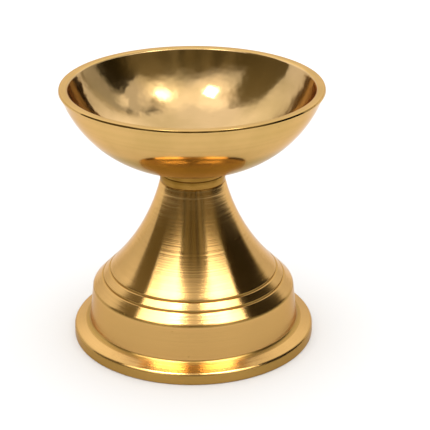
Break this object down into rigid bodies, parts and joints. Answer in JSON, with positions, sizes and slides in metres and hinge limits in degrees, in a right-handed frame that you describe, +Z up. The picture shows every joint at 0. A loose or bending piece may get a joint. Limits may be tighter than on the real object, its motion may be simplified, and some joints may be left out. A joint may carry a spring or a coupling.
{
  "type": "diya oil lamp",
  "caption": "Small footed oil lamp of turned brass: an open bowl for oil and a wick, screwed to a hollow flared stem with a grooved drum and a flanged foot.",
  "frame": {"origin": "centre of the foot, on the surface that the lamp stands on", "axes": "+Z up along the lamp's axis of revolution, from the foot to the bowl; X and Y are any two level directions"},
  "size_m": [0.0448, 0.0448, 0.0454],
  "materials": {
    "pedestal_brass": "polished",
    "collar_brass": "satin",
    "stud_brass": "satin",
    "bowl_brass": "polished"
  },
  "bodies": {
    "pedestal": {"pedestal": "pedestal_brass"},
    "collar": {"neck_collar": "collar_brass"},
    "bowl": {"oil_bowl": "bowl_brass", "threaded_stud": "stud_brass"}
  },
  "joints": [
    {"name": "bowl_turn", "type": "hinge", "parent": "pedestal", "child": "collar", "pos_m": [0, 0, 0.0286], "axis": [0, 0, 1], "range_deg": [0, 2160]},
    {"name": "bowl_rise", "type": "slide", "parent": "collar", "child": "bowl", "axis": [0, 0, 1], "range_m": [0, 0.006]}
  ],
  "couplings": [
    {"joint": "bowl_rise", "follows": "bowl_turn", "m_per_rad": 0.00015915}
  ]
}
